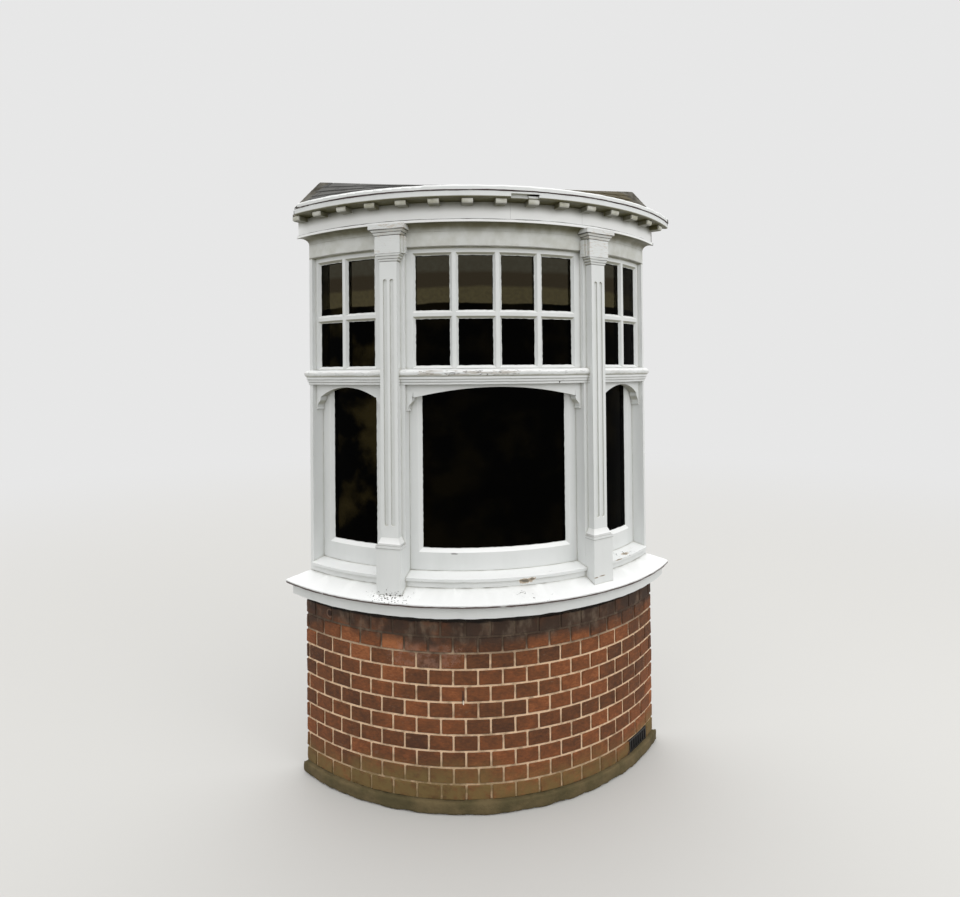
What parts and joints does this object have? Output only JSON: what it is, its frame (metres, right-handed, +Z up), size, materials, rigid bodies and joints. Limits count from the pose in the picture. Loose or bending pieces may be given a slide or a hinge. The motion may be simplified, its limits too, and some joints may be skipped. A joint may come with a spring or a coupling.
{
  "type": "bay window",
  "caption": "Curved ground-floor bay window: header-bonded brick base, painted timber sashes between fluted pilasters, blocked cornice and low roof, cut off flat at the house wall.",
  "frame": {"origin": "bottom centre of the bounding box, on the ground in the middle of the bay", "axes": "+Z up, -Y towards the street, +X to the right seen from the street; the house wall's face is the plane y = 0.235 m"},
  "size_m": [2.1052, 0.5899, 3.056],
  "materials": {
    "footing": "mossy render",
    "brick": "rough",
    "mortar": "rough",
    "painted_timber": "worn gloss paint",
    "inside_timber": "satin paint",
    "glass": "clear",
    "slate": "weathered",
    "vent_iron": "matt black"
  },
  "bodies": {
    "root": {"air_brick": "vent_iron", "apron_centre": "painted_timber", "apron_left": "painted_timber", "apron_right": "painted_timber", "brick_base_centre_left": "brick", "brick_base_centre_right": "brick", "brick_base_left": "brick", "brick_base_right": "brick", "capital_left": "painted_timber", "capital_right": "painted_timber", "capping_strip": "painted_timber", "ceiling": "inside_timber", "crown_moulding": "painted_timber", "end_post_left": "painted_timber", "end_post_right": "painted_timber", "footing_kerb": "footing", "frieze": "painted_timber", "head": "painted_timber", "lower_glass_centre": "glass", "lower_glass_left": "glass", "lower_glass_right": "glass", "lower_sash_centre": "painted_timber", "lower_sash_left": "painted_timber", "lower_sash_right": "painted_timber", "modillions": "painted_timber", "mullion_left": "painted_timber", "mullion_right": "painted_timber", "pilaster_left": "painted_timber", "pilaster_right": "painted_timber", "roof": "slate", "sill": "painted_timber", "sill_bed": "mortar", "subsill_centre": "painted_timber", "subsill_left": "painted_timber", "subsill_right": "painted_timber", "transom_centre": "painted_timber", "transom_left": "painted_timber", "transom_right": "painted_timber", "upper_glass_centre": "glass", "upper_glass_left": "glass", "upper_glass_right": "glass", "upper_sash_centre": "painted_timber", "upper_sash_left": "painted_timber", "upper_sash_right": "painted_timber", "window_board": "inside_timber"}
  },
  "joints": []
}
